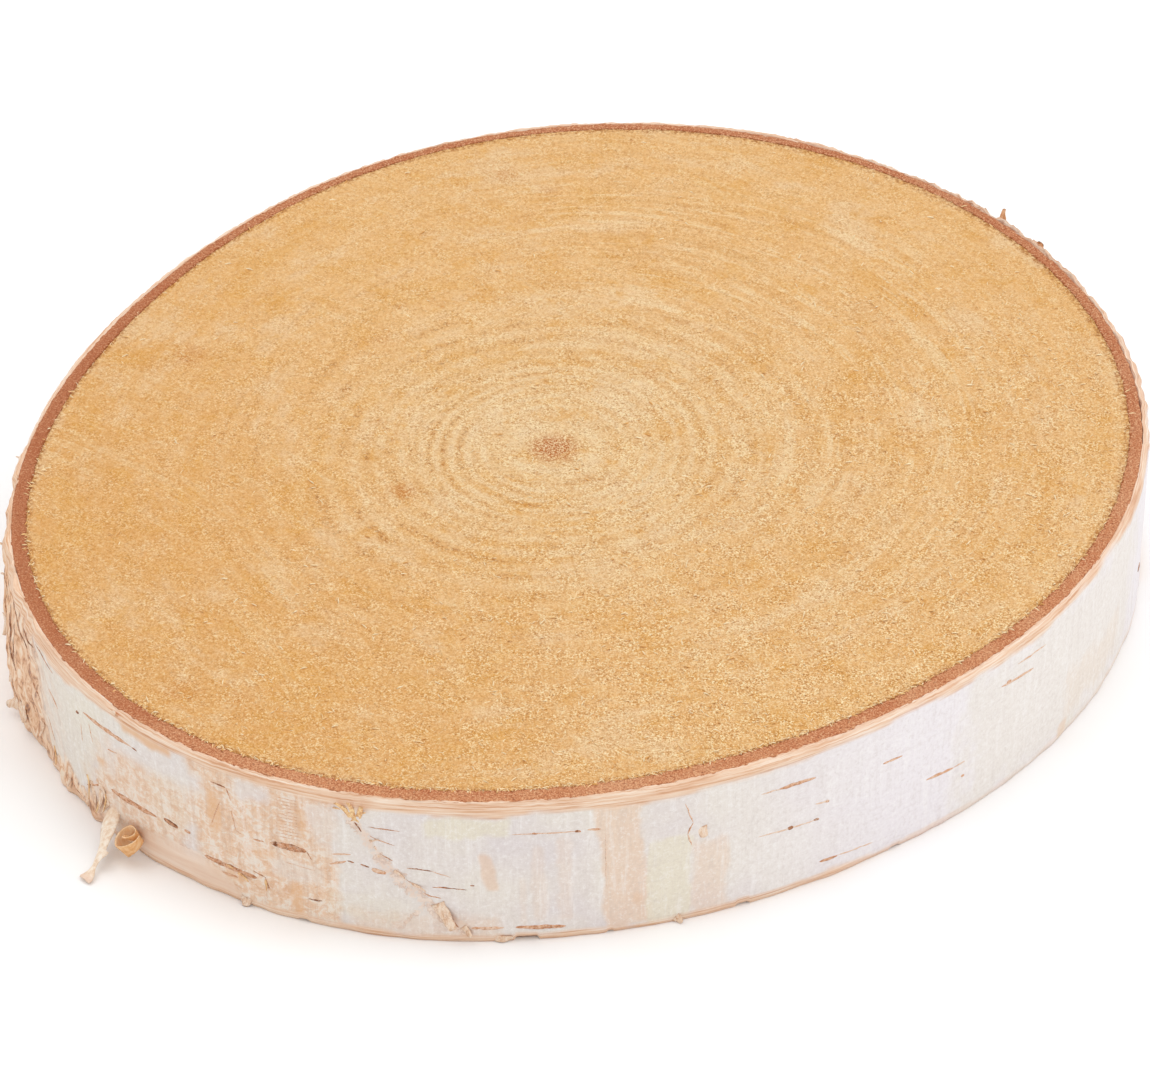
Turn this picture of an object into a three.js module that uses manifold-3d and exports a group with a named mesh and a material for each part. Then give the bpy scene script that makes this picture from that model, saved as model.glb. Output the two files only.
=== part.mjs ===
// A slice sawn across a birch trunk: a thick, slightly oval disc with its bark left on.
// Millimetres, +Z up. The slice lies on its smaller sawn face, with the origin on the
// ground under the middle of its outline.
//
// The trunk grew as one piece, so the slice is one closed body. Two loose tongues of bark
// near the ground, a hanging strip and a rolled flap, are joined to it where they hold on.

import * as THREE from 'three';
import { mergeVertices, toCreasedNormals } from 'three/addons/utils/BufferGeometryUtils.js';
import Module from 'manifold-3d';

// ---- driving dimensions -------------------------------------------------------------

const THICKNESS = 30;            // between the two sawn faces
const MEAN_RADIUS = 100;         // over the bark, at the upper face
const OVAL = 7;                  // the trunk is longer one way than the other by 4 x this
const OVAL_ANGLE = 51;           // degrees from +X to the long axis
const LOBE = 1.85;               // a faint three-cornered swelling round the trunk
const LOBE_ANGLE = -17.5;        // degrees from +X to one of its corners
const FOOT_SCALE = 0.986;        // the trunk tapers, so the lower face is smaller
const FOOT_LEAN = 1;             // and leans, so the lower face lies this far towards +X
const OUTLINE_POINTS = 144;

const BARK_SHEET = 0.8;          // thickness of a loose tongue of bark
const ROOT_DEPTH = 2;            // how far a tongue runs into the wall it grows from

const STRIP_WIDTH = 4.2;
const STRIP_ANGLE = 223.5;       // where on the wall the hanging strip holds on
const STRIP_REACH = 11;          // how far its tip lies out from the wall
const STRIP_ROOT_HEIGHT = 6.5;
const STRIP_TIP_HEIGHT = 1.6;
const STRIP_STEPS = 10;

const ROLL_ANGLE = 226.5;        // where on the wall the rolled flap holds on
const ROLL_RADIUS = 2.7;         // of the roll's outer turn
const ROLL_HEIGHT = 8;
const ROLL_LIFT = 1.2;           // of the roll's lower end off the ground
const ROLL_TURN = 1.35 * Math.PI;
const ROLL_POINTS = 14;

const CREASE_ANGLE = 35;         // edges sharper than this, such as the sawn rim, stay crisp

const WOOD = new THREE.MeshStandardMaterial({ color: 0xe0b674, roughness: 0.85, metalness: 0 });

// ---- the outline of the trunk -------------------------------------------------------

const radians = THREE.MathUtils.degToRad;

// Distance from the middle of the trunk to its bark, at the upper face.
function trunkRadius(angle) {
  const oval = OVAL * Math.cos(2 * (angle - radians(OVAL_ANGLE)));
  const lobe = LOBE * Math.cos(3 * (angle - radians(LOBE_ANGLE)));
  return MEAN_RADIUS + oval + lobe;
}

// How much the outline has shrunk, and moved towards +X, at a height.
function sectionAt(height) {
  const share = height / THICKNESS;
  return {
    scale: THREE.MathUtils.lerp(FOOT_SCALE, 1, share),
    shift: FOOT_LEAN * (1 - share),
  };
}

// A point on the bark, out from the wall by a given reach, at a given height.
function wallPoint(angleInDegrees, reach, height) {
  const angle = radians(angleInDegrees);
  const { scale, shift } = sectionAt(height);
  const radius = trunkRadius(angle) * scale + reach;
  const x = radius * Math.cos(angle) + shift;
  return new THREE.Vector3(x, radius * Math.sin(angle), height);
}

// ---- the sawn disc ------------------------------------------------------------------

function sawnDisc() {
  const outline = [];
  for (let i = 0; i < OUTLINE_POINTS; i += 1) {
    const angle = (2 * Math.PI * i) / OUTLINE_POINTS;
    const radius = trunkRadius(angle);
    outline.push(new THREE.Vector2(radius * Math.cos(angle), radius * Math.sin(angle)));
  }
  const disc = new THREE.ExtrudeGeometry(new THREE.Shape(outline), {
    depth: THICKNESS,
    bevelEnabled: false,
  });
  const place = disc.getAttribute('position');
  for (let i = 0; i < place.count; i += 1) {
    const { scale, shift } = sectionAt(place.getZ(i));
    place.setXY(i, place.getX(i) * scale + shift, place.getY(i) * scale);
  }
  return disc;
}

// ---- the loose tongues of bark ------------------------------------------------------

// A flat strip torn away at its tip: it leaves the wall, bends over and reaches the ground.
function hangingStrip() {
  const drop = STRIP_ROOT_HEIGHT - STRIP_TIP_HEIGHT;
  const path = new THREE.CatmullRomCurve3([
    wallPoint(STRIP_ANGLE, -ROOT_DEPTH, STRIP_ROOT_HEIGHT),
    wallPoint(STRIP_ANGLE, STRIP_REACH * 0.3, STRIP_ROOT_HEIGHT - drop * 0.1),
    wallPoint(STRIP_ANGLE, STRIP_REACH * 0.7, STRIP_ROOT_HEIGHT - drop * 0.6),
    wallPoint(STRIP_ANGLE, STRIP_REACH, STRIP_TIP_HEIGHT),
  ]);
  const halfSheet = BARK_SHEET / 2;
  const halfWidth = STRIP_WIDTH / 2;
  const section = new THREE.Shape([
    new THREE.Vector2(-halfSheet, -halfWidth),
    new THREE.Vector2(halfSheet, -halfWidth),
    new THREE.Vector2(halfSheet, halfWidth),
    new THREE.Vector2(-halfSheet, halfWidth),
  ]);
  return new THREE.ExtrudeGeometry(section, { steps: STRIP_STEPS, extrudePath: path });
}

// A flap that has rolled up on itself against the wall: a spiral sheet standing on its edge.
// The sheet's start lies in the wall, and each further point of the spiral is closer in.
function rolledFlap() {
  const outer = [];
  const inner = [];
  for (let i = 0; i <= ROLL_POINTS; i += 1) {
    const along = i / ROLL_POINTS;
    const turn = ROLL_TURN * along;
    const radius = ROLL_RADIUS * (1 - 0.35 * along);
    outer.push(new THREE.Vector2(radius * Math.cos(turn), radius * Math.sin(turn)));
    const inside = radius - BARK_SHEET;
    inner.unshift(new THREE.Vector2(inside * Math.cos(turn), inside * Math.sin(turn)));
  }
  const roll = new THREE.ExtrudeGeometry(new THREE.Shape([...outer, ...inner]), {
    depth: ROLL_HEIGHT,
    bevelEnabled: false,
  });
  const middle = wallPoint(ROLL_ANGLE, ROLL_RADIUS - ROOT_DEPTH, ROLL_LIFT);
  roll.rotateZ(radians(ROLL_ANGLE + 120));
  roll.translate(middle.x, middle.y, ROLL_LIFT);
  return roll;
}

// ---- joining ------------------------------------------------------------------------

const wasm = await Module();
wasm.setup();

// A closed solid from a three.js geometry, with its shared corners merged.
function solidOf(geometry) {
  const bare = geometry.clone();
  bare.deleteAttribute('normal');
  bare.deleteAttribute('uv');
  const merged = mergeVertices(bare);
  return new wasm.Manifold(new wasm.Mesh({
    numProp: 3,
    vertProperties: new Float32Array(merged.getAttribute('position').array),
    triVerts: new Uint32Array(merged.getIndex().array),
  }));
}

// The joined solid as a geometry again, shaded smooth round the bark and flat where sawn.
function geometryOf(solid) {
  const mesh = solid.getMesh();
  const geometry = new THREE.BufferGeometry();
  geometry.setAttribute('position', new THREE.BufferAttribute(mesh.vertProperties, 3));
  geometry.setIndex(new THREE.BufferAttribute(mesh.triVerts, 1));
  return toCreasedNormals(geometry, radians(CREASE_ANGLE));
}

// ---- the slice ----------------------------------------------------------------------

function birchSlice() {
  const disc = sawnDisc();
  disc.computeBoundingBox();
  const middle = disc.boundingBox.getCenter(new THREE.Vector3());
  const whole = solidOf(disc)
    .add(solidOf(hangingStrip()))
    .add(solidOf(rolledFlap()));
  const slice = new THREE.Mesh(geometryOf(whole), WOOD);
  slice.name = 'birch_slice';
  slice.position.set(-middle.x, -middle.y, 0);
  return slice;
}

const model = new THREE.Group();
model.add(birchSlice());

export default model;
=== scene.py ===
import math

import bpy
import numpy as np
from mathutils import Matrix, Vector


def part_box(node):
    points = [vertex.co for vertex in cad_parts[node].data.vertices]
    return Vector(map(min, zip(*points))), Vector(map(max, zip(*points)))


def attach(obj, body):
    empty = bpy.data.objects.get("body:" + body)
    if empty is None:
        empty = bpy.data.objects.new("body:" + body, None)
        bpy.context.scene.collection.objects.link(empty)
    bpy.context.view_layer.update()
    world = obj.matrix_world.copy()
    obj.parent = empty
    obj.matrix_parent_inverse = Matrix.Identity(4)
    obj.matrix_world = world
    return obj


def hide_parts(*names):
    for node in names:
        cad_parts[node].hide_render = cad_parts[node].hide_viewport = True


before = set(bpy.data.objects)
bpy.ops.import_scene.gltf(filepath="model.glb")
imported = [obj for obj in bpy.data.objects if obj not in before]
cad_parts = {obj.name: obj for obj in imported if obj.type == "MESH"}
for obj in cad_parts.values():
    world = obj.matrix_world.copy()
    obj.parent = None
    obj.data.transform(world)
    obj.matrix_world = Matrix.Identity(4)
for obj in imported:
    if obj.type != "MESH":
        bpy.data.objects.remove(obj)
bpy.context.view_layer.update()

# ======================================================================================
# The sawn wood: the trunk inside its bark, sawn across twice. Bare birch end grain, with
# a soft brown pith off the middle, uneven yearly rings and the saw's faint curved lines.
# ======================================================================================

MM = 0.001
slice_low, slice_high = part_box("birch_slice")
THICKNESS = slice_high.z - slice_low.z
TALL = THICKNESS / MM
MEAN_RADIUS = 100             # of the trunk over its bark, at the upper face, in mm
FOOT_SCALE = 0.986            # the trunk tapers towards the lower face,
FOOT_LEAN = 1                 # and leans a little towards +X there, in mm
OUTER_BARK = 1.3
INNER_BARK = 2.3
INNER_BARK_SWING = 0.65       # the inner bark is thicker along the front than behind
INNER_BARK_THICKEST = 262     # the angle where it is thickest, in degrees
OVAL = 0.07                   # how much longer the trunk is one way than on average
OVAL_ANGLE = 51               # and which way that is, in degrees
CORNERS = 0.0185              # its three blunt corners, and their turn in degrees
CORNER_TURN = 17.5
WOOD_TUCK = 0.15              # the wood reaches this far under the inner bark
SAWN_DEPTH = 0.16             # the saw left the wood this far below the slice's faces
PITH = np.array([-4.9, -2.3])
SAW_CENTRE = (-170, -120)     # the middle of the saw blade's arcs

WOOD_COLUMNS = 480
WOOD_ROWS = 150
# Distance between one dark ring line and the next, in mm, from the pith outwards. The
# last six, near the bark, are even.
RING_WIDTHS = (3.2, 7.8, 3, 3, 3, 2.5, 3, 3.5, 4.5, 4.5, 5.5, 6.5, 4.5, 4, 3.5, 4, 6, 5,
               4, 4, 4, 4, 4, 4)


def trunk_radius(angle):
    """Distance from the trunk's middle to its bark: a mean radius, longer and shorter twice
    a turn for the oval, and a little longer three times a turn for its blunt corners."""
    oval = OVAL * np.cos(2 * (angle - math.radians(OVAL_ANGLE)))
    corners = CORNERS * np.cos(3 * (angle + math.radians(CORNER_TURN)))
    return MEAN_RADIUS * (1 + oval + corners)


def outline_middle():
    """The middle of the outline's box, which stands over the frame's origin."""
    angle = np.linspace(0, 2 * np.pi, 720)
    x = trunk_radius(angle) * np.cos(angle)
    y = trunk_radius(angle) * np.sin(angle)
    return np.array([x.min() + x.max(), y.min() + y.max()]) / 2


OUTLINE_MIDDLE = outline_middle()


def trunk_point(angle, height, inward):
    """A point of the trunk, in mm, at an angle round it and a height, lying inward of the
    bark's face by a distance. The outline shrinks and leans evenly towards the foot."""
    down = 1 - height / TALL
    radius = trunk_radius(angle) * (1 - (1 - FOOT_SCALE) * down) - inward
    x = radius * np.cos(angle) - OUTLINE_MIDDLE[0] + FOOT_LEAN * down
    y = radius * np.sin(angle) - OUTLINE_MIDDLE[1]
    return np.stack(np.broadcast_arrays(x, y, height), axis=-1).astype(float)


def bark_depth(angle):
    """Thickness of both barks together: even, but for one swing a turn of the inner bark."""
    swing = INNER_BARK_SWING * np.cos(angle - math.radians(INNER_BARK_THICKEST))
    return OUTER_BARK + INNER_BARK + swing


def lumps(points, size, seed):
    """Smooth lumpy noise from -1 to 1: every corner of a lattice of the given size holds a
    fixed random number, scrambled from its place by large odd numbers, and a point blends
    the eight round it."""
    places = points / np.asarray(size)
    corner = np.floor(places).astype(np.int64)
    share = places - corner
    share = share * share * (3 - 2 * share)
    total = np.zeros(places.shape[:-1])
    for step in np.ndindex(2, 2, 2):
        mixed = (corner + step) @ np.array([73856093, 19349663, 83492791]) + seed * 15485863
        mixed = (mixed ^ (mixed >> 13)) * 1274126177 & 0x7FFFFFFF
        mixed = (mixed ^ (mixed >> 15)) * 668265263 & 0x7FFFFFFF
        value = (mixed >> 7 & 0xFFFF) / 32767.5 - 1
        total += value * np.prod(np.where(step, share, 1 - share), axis=-1)
    return total


def ramp_up(value, start, end):
    """0 before start, 1 after end, and a smooth rise between."""
    share = np.clip((value - start) / (end - start), 0, 1)
    return share * share * (3 - 2 * share)


def hump(value, middle, width):
    """A smooth hump, 1 at its middle: e to the power of minus the square of the distance
    from the middle, counted in widths."""
    return np.exp(-((value - middle) / width) ** 2)


def grid_faces(rows, columns):
    """Four-sided faces between neighbouring rows of a grid whose columns close on
    themselves."""
    row, column = np.meshgrid(np.arange(rows - 1), np.arange(columns), indexing="ij")
    beside = (column + 1) % columns
    corners = (row * columns + column, row * columns + beside,
               (row + 1) * columns + beside, (row + 1) * columns + column)
    return np.stack(corners, axis=-1).reshape(-1, 4)


def fan_faces(pole, ring):
    """Triangles from one pole to each pair of neighbours in a closed ring."""
    return np.stack([np.full(len(ring), pole), ring, np.roll(ring, -1)], axis=-1)


def build(name, points, faces, fields=None):
    """A smooth mesh object from whole arrays in mm, turned so that its faces point
    outwards: the sum of every face's corner volumes is positive when they do."""
    volume = 0
    for group in faces:
        corner = points[group]
        for k in range(1, group.shape[1] - 1):
            crossed = np.cross(corner[:, k], corner[:, k + 1])
            volume += np.einsum("ij,ij->", corner[:, 0], crossed)
    if volume < 0:
        faces = [group[:, ::-1] for group in faces]
    mesh = bpy.data.meshes.new(name)
    mesh.from_pydata((points * MM).tolist(), [], [f for group in faces for f in group.tolist()])
    for field, values in (fields or {}).items():
        layer = mesh.attributes.new(field, "FLOAT", "POINT")
        layer.data.foreach_set("value", np.asarray(values, np.float32).ravel())
    mesh.shade_smooth()
    piece = bpy.data.objects.new(name, mesh)
    bpy.context.scene.collection.objects.link(piece)
    return piece


def belongs(piece, finish):
    """The piece rides on the slice's only body, stands for it and takes the given finish."""
    piece.data.materials.append(finish)
    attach(piece, "root")
    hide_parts("birch_slice")


def paint(red, green, blue):
    """A colour from its screen values, 0 to 255, as the shader's linear values."""
    return tuple(((c / 255 + 0.055) / 1.055) ** 2.4 for c in (red, green, blue)) + (1,)


UNDER_COLOUR, OVER_COLOUR, MIXED_COLOUR = 6, 7, 2    # the Mix node's colour sockets


class Finish:
    """A material laid node by node over one Principled shader. Places are in millimetres.
    It keeps its colour so far, which each new layer covers in part."""

    def __init__(self, name, roughness, specular):
        self.material = bpy.data.materials.new(name)
        self.material.use_nodes = True
        self.tree = self.material.node_tree
        self.shader = self.tree.nodes["Principled BSDF"]
        self.shader.inputs["Roughness"].default_value = roughness
        self.shader.inputs["Specular IOR Level"].default_value = specular
        self.object_place = self.add("ShaderNodeTexCoord", {}).outputs["Object"]

    def add(self, kind, wires, **settings):
        """A node with its settings, and each socket given a value or wired to another."""
        node = self.tree.nodes.new(kind)
        for setting, value in settings.items():
            setattr(node, setting, value)
        for socket, value in wires.items():
            if isinstance(value, bpy.types.NodeSocket):
                self.tree.links.new(value, node.inputs[socket])
            else:
                node.inputs[socket].default_value = value
        return node

    def field(self, name):
        """A number kept at each of the mesh's points."""
        return self.add("ShaderNodeAttribute", {}, attribute_name=name).outputs["Fac"]

    def place(self, x=1, y=1, z=1, turn=0):
        """Places in mm, turned about Z by degrees, then stretched along each axis."""
        turned = self.add("ShaderNodeMapping", {"Vector": self.object_place,
                                                "Rotation": (0, 0, math.radians(turn)),
                                                "Scale": (1000, 1000, 1000)})
        scaled = self.add("ShaderNodeVectorMath", {0: turned.outputs[0], 1: (x, y, z)},
                          operation="MULTIPLY")
        return scaled.outputs[0]

    def along(self, first, second_x, second_y):
        """Places whose first part is a number and whose others are slow X and Y, so that a
        pattern runs along the lines where that number stays the same."""
        apart = self.add("ShaderNodeSeparateXYZ", {0: self.place(second_x, second_y, 0)})
        return self.add("ShaderNodeCombineXYZ",
                        {0: first, 1: apart.outputs[0], 2: apart.outputs[1]}).outputs[0]

    def noise(self, place, scale=1.0, detail=3.0, rough=0.55, warp=0.0):
        """Noise from 0 to 1 with the given number of lumps per unit of the place."""
        wires = {"Vector": place, "Scale": scale, "Detail": detail, "Roughness": rough,
                 "Distortion": warp}
        return self.add("ShaderNodeTexNoise", wires).outputs["Fac"]

    def spots(self, place, scale=1.0):
        """Distance from the nearest of many scattered points."""
        return self.add("ShaderNodeTexVoronoi", {"Vector": place, "Scale": scale}
                        ).outputs["Distance"]

    def math(self, operation, first, second=0.0, third=0.0):
        wires = {0: first, 1: second, 2: third}
        return self.add("ShaderNodeMath", wires, operation=operation).outputs[0]

    def times(self, first, *others):
        """The product of all the values."""
        for other in others:
            first = self.math("MULTIPLY", first, other)
        return first

    def part(self, place, axis):
        """One part of a place: 0 for its X, 1 for its Y, 2 for its Z."""
        return self.add("ShaderNodeSeparateXYZ", {0: place}).outputs[axis]

    def rise(self, value, start, end, low=0.0, high=1.0):
        """low before start, high after end, and a smooth change between."""
        wires = {"Value": value, "From Min": start, "From Max": end, "To Min": low,
                 "To Max": high}
        return self.add("ShaderNodeMapRange", wires,
                        interpolation_type="SMOOTHSTEP").outputs["Result"]

    def ramp(self, value, *stops):
        """Colours along a value: each stop is a place from 0 to 1 and a colour's screen
        values."""
        node = self.add("ShaderNodeValToRGB", {"Fac": value})
        handles = node.color_ramp.elements
        while len(handles) < len(stops):
            handles.new(1)
        for handle, (spot, *screen) in zip(handles, stops):
            handle.position = spot
            handle.color = paint(*screen)
        return node.outputs["Color"]

    def over(self, share, above):
        """Covers the colour so far by a share of another: screen values, or a socket."""
        if isinstance(above, tuple):
            above = paint(*above)
        wires = {"Factor": share, UNDER_COLOUR: self.colour, OVER_COLOUR: above}
        node = self.add("ShaderNodeMix", wires, data_type="RGBA")
        self.colour = node.outputs[MIXED_COLOUR]

    def bump(self, height, depth):
        """Small relief: height from 0 to 1 stands for a depth in mm."""
        wires = {"Height": height, "Strength": 1.0, "Distance": depth * MM}
        return self.add("ShaderNodeBump", wires).outputs["Normal"]

    def done(self, normal):
        """The material, with its colour so far and its small relief wired to the shader."""
        self.tree.links.new(self.colour, self.shader.inputs["Base Color"])
        self.tree.links.new(normal, self.shader.inputs["Normal"])
        return self.material


def wood_face(side):
    """One sawn face as a grid: a point lies on the line from the pith to the edge of the
    wood. Close to the pith equal steps make circles, and towards the edge they take on the
    outline's shape, as the yearly rings do."""
    angle = np.arange(WOOD_COLUMNS) * 2 * np.pi / WOOD_COLUMNS
    height = TALL if side > 0 else 0
    edge = trunk_point(angle, height, bark_depth(angle) - WOOD_TUCK)
    outward = edge[:, :2] - PITH
    reach = np.linalg.norm(outward, axis=1)
    share = np.linspace(0, 1, WOOD_ROWS)[1:, None]
    grown = share * ((1 - share) * reach.mean() / reach + share)
    points = np.empty((WOOD_ROWS - 1, WOOD_COLUMNS, 3))
    points[..., :2] = PITH + grown[..., None] * outward
    points[..., 2] = height
    ring = np.broadcast_to(share * reach.mean(), grown.shape)
    inward = SAWN_DEPTH + 0.02 * lumps(points, 22, 3) + 0.03 * lumps(points, 3, 4)
    points[..., 2] -= side * inward * ramp_up(share, 0, 0.05)
    return points, ring


# Each knot or blotch: its X and Y, its width in mm and its strength.
STAINS = ((-31, -15, 2.4, 1.0), (-14, 84, 2.0, 0.6), (-70, 26, 3.0, 0.7),
          (-67, -72, 2.6, 0.6), (-6, 79, 1.8, 0.5), (-36, 31, 2.2, 0.4),
          (-57, -74, 2.0, 0.4), (12, 20, 1.2, 0.5))


def stains(points):
    """Small brown knots and blotches in the wood, each fading out from its middle."""
    total = np.zeros(points.shape[:-1])
    for x, y, across, strength in STAINS:
        away = np.hypot(points[..., 0] - x, points[..., 1] - y)
        total = np.maximum(total, strength * hump(away, 0, across))
    return total


def sawn_wood():
    """Both sawn faces and the hidden wall between them, as one closed grid with a pole at
    each pith. The lower face has a third of the rows."""
    top, ring = wood_face(1)
    bottom, bottom_ring = wood_face(-1)
    poles = np.array([[PITH[0], PITH[1], TALL], [PITH[0], PITH[1], 0]])
    bottom = np.concatenate([bottom[::3], bottom[-1:]])
    bottom_ring = np.concatenate([bottom_ring[::3], bottom_ring[-1:]])
    rows = np.concatenate([top, bottom[::-1]])
    points = np.concatenate([rows.reshape(-1, 3), poles])
    rings = np.concatenate([ring.ravel(), bottom_ring[::-1].ravel(), [0, 0]])
    count = len(rows) * WOOD_COLUMNS
    first_ring = np.arange(WOOD_COLUMNS)
    faces = [grid_faces(len(rows), WOOD_COLUMNS), fan_faces(count, first_ring[::-1]),
             fan_faces(count + 1, first_ring + count - WOOD_COLUMNS)]
    wobble = 0.6 * lumps(points, 30, 5) + 0.35 * lumps(points, 9, 6)
    lines = np.concatenate([[0], np.cumsum(RING_WIDTHS)])
    year = np.interp(rings + wobble * ramp_up(rings, 2, 20), lines, np.arange(len(lines)))
    left = ramp_up(-points[:, 0] - 0.3 * points[:, 1], -10, 30)
    inner = ramp_up(rings, 7, 14) * (1 - ramp_up(rings, 34, 74))
    boldness = 0.28 + inner * (0.42 + 0.5 * left)
    return build("sawn_wood", points, faces, {"ring": rings, "year": year,
                                              "stain": stains(points),
                                              "boldness": boldness})


def wood_finish():
    finish = Finish("birch_end_grain", 0.8, 0.2)
    ring, year = finish.field("ring"), finish.field("year")
    place = finish.place()

    # honey wood: creamier round the pith, golden to the left
    finish.colour = finish.ramp(finish.times(ring, 0.01), (0, 238, 201, 151),
                                (0.22, 237, 195, 140), (0.5, 237, 188, 128),
                                (0.95, 237, 186, 123))
    side = finish.part(finish.place(turn=-25), 0)
    finish.over(finish.rise(side, -85, -5, 0.8, 0), (228, 168, 98))

    # broad cream clouds that lie along the rings, and orange patches
    clouds = finish.noise(finish.along(finish.times(ring, 0.10), 0.05, 0.05), 1, 4, 0.65)
    finish.over(finish.rise(clouds, 0.36, 0.48, 0.5, 0), (228, 168, 86))
    finish.over(finish.rise(clouds, 0.52, 0.66, 0, 0.38), (242, 214, 176))
    warm = finish.noise(place, 0.18, 5, 0.7, 0.4)
    finish.over(finish.rise(warm, 0.52, 0.66, 0, 0.6), (228, 166, 80))
    finish.over(finish.rise(warm, 0.36, 0.46, 0.2, 0), (242, 212, 170))

    # yearly rings: thin broken bands, picked out by clusters of small brown dots
    line = finish.math("PINGPONG", year, 0.5)
    whole = finish.math("FLOOR", finish.math("ADD", year, 0.5))
    dashes = finish.noise(finish.along(finish.times(whole, 7.3), 0.07, 0.07), 1, 3, 0.6)
    gaps = finish.rise(finish.noise(place, 0.25, 3, 0.6), 0.42, 0.56, 0.25, 1)
    band = finish.times(finish.rise(line, 0.03, 0.26, 1, 0), finish.rise(dashes, 0.40, 0.60))
    marked = finish.times(band, gaps, finish.field("boldness"))
    finish.over(finish.times(marked, 0.3), (212, 144, 66))
    dots = finish.rise(finish.noise(place, 1.3, 3, 0.7), 0.5, 0.6)
    finish.over(finish.times(marked, dots, 0.7), (172, 106, 44))
    pale = finish.times(finish.rise(line, 0.22, 0.42), finish.rise(ring, 14, 60, 0.5, 0.06))
    finish.over(finish.times(pale, gaps), (245, 219, 178))

    # the saw's curved scratches, and finer pale and dark pairs towards the right
    from_saw = finish.add("ShaderNodeVectorMath", {0: place, 1: SAW_CENTRE + (30,)},
                          operation="DISTANCE").outputs["Value"]
    scratch = finish.noise(finish.along(finish.times(from_saw, 0.5), 0.03, 0.03), 1, 4, 0.7)
    patchy = finish.rise(finish.noise(place, 0.03, 2), 0.42, 0.58, 0.2, 1)
    finish.over(finish.times(finish.rise(scratch, 0.52, 0.66, 0, 0.3), patchy), (246, 216, 168))
    finish.over(finish.times(finish.rise(scratch, 0.36, 0.47, 0.22, 0), patchy), (216, 156, 84))
    fine = finish.noise(finish.along(finish.times(ring, 0.75), 0.04, 0.04), 1, 3, 0.6)
    right = finish.times(finish.rise(side, 0, 35), finish.rise(ring, 70, 90, 1, 0.4))
    right = finish.times(right, gaps)
    finish.over(finish.times(finish.rise(fine, 0.53, 0.62, 0, 0.55), right), (247, 218, 172))
    finish.over(finish.times(finish.rise(fine, 0.38, 0.47, 0.42, 0), right), (212, 152, 82))

    # cut fibre ends: a speckle of pale fuzz and dark pores, faintest at the left and far side
    grain = finish.noise(place, 1.5, 4, 0.8)
    crisp = finish.rise(finish.noise(place, 0.2, 4, 0.7), 0.42, 0.58, 0.55, 1.2)
    crisp = finish.times(crisp, finish.rise(side, -80, 10, 0.6, 1))
    depth = finish.part(place, 1)
    crisp = finish.times(crisp, finish.rise(depth, 0, 60, 1, 0.55))
    crisp = finish.times(crisp, finish.rise(depth, -80, -30, 1.3, 1))
    finish.over(finish.rise(grain, 0.36, 0.48, 0.5, 0), (200, 134, 62))
    finish.over(finish.rise(grain, 0.53, 0.66, 0, 0.5), (252, 224, 170))
    fuzz = finish.noise(place, 3.4, 2, 0.6)
    finish.over(finish.times(crisp, finish.rise(fuzz, 0.38, 0.48, 0.55, 0)), (186, 122, 54))
    finish.over(finish.times(crisp, finish.rise(fuzz, 0.54, 0.62, 0, 0.75)), (255, 234, 188))
    pores = finish.rise(finish.spots(place, 0.8), 0.08, 0.22, 0.5, 0)
    finish.over(finish.times(crisp, pores), (164, 100, 44))

    # pith, knots and blotches, all of them granular
    granular = finish.rise(finish.math("ADD", grain, fuzz), 0.9, 1.08, 0.85, 0.15)
    pith = finish.times(finish.rise(ring, 1.5, 5.6, 1.15, 0), granular)
    finish.over(pith, (184, 94, 6))
    knots = finish.times(finish.field("stain"), granular)
    finish.over(knots, (198, 122, 52))

    # the last growth under the bark, dark and dotted
    dotted = finish.rise(grain, 0.42, 0.54, 0.7, 0)
    edge = finish.rise(ring, 95.0, 96.0)
    finish.over(finish.times(edge, dotted), (168, 100, 40))

    relief = finish.math("ADD", grain, finish.times(fuzz, 0.6))
    relief = finish.math("ADD", relief, finish.times(scratch, 0.5))
    return finish.done(finish.bump(relief, 0.42))


belongs(sawn_wood(), wood_finish())

# ======================================================================================
# The saw's fuzz: cut fibres that the blade pulled up and left standing on the upper sawn
# face, each a hair of pale wood, thickest along the near edge where the bark holds them.
# ======================================================================================

FACE_FIBRES = 3600
EDGE_FIBRES = 1400
FIBRE_DROOP = 0.35
FIBRE_STATIONS = ((0.05, 1.0), (0.4, 1.1), (0.75, 0.7))    # how far along, how thick


def tubes(rings, tips=None):
    """Closed shells, one for each first index: rings of points joined by four-sided faces,
    with a fan of triangles to a tip at each end. The tips are the middles of the end rings
    unless they are given."""
    if tips is None:
        tips = rings[:, [0, -1]].mean(axis=2)
    count, stations, around = rings.shape[:3]
    points = np.concatenate([rings.reshape(count, -1, 3), tips], axis=1)
    size = points.shape[1]
    ring = np.arange(around)
    first = (np.arange(count) * size)[:, None, None]
    faces = [grid_faces(stations, around), fan_faces(size - 2, ring[::-1]),
             fan_faces(size - 1, ring + (stations - 1) * around)]
    return points.reshape(-1, 3), [(group + first).reshape(-1, group.shape[1])
                                   for group in faces]


def level_directions(angle):
    """Two level directions: the one at an angle, and the one a quarter turn past it."""
    x, y, level = np.cos(angle), np.sin(angle), 0 * angle
    return np.stack([x, y, level], axis=-1), np.stack([-y, x, level], axis=-1)


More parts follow.
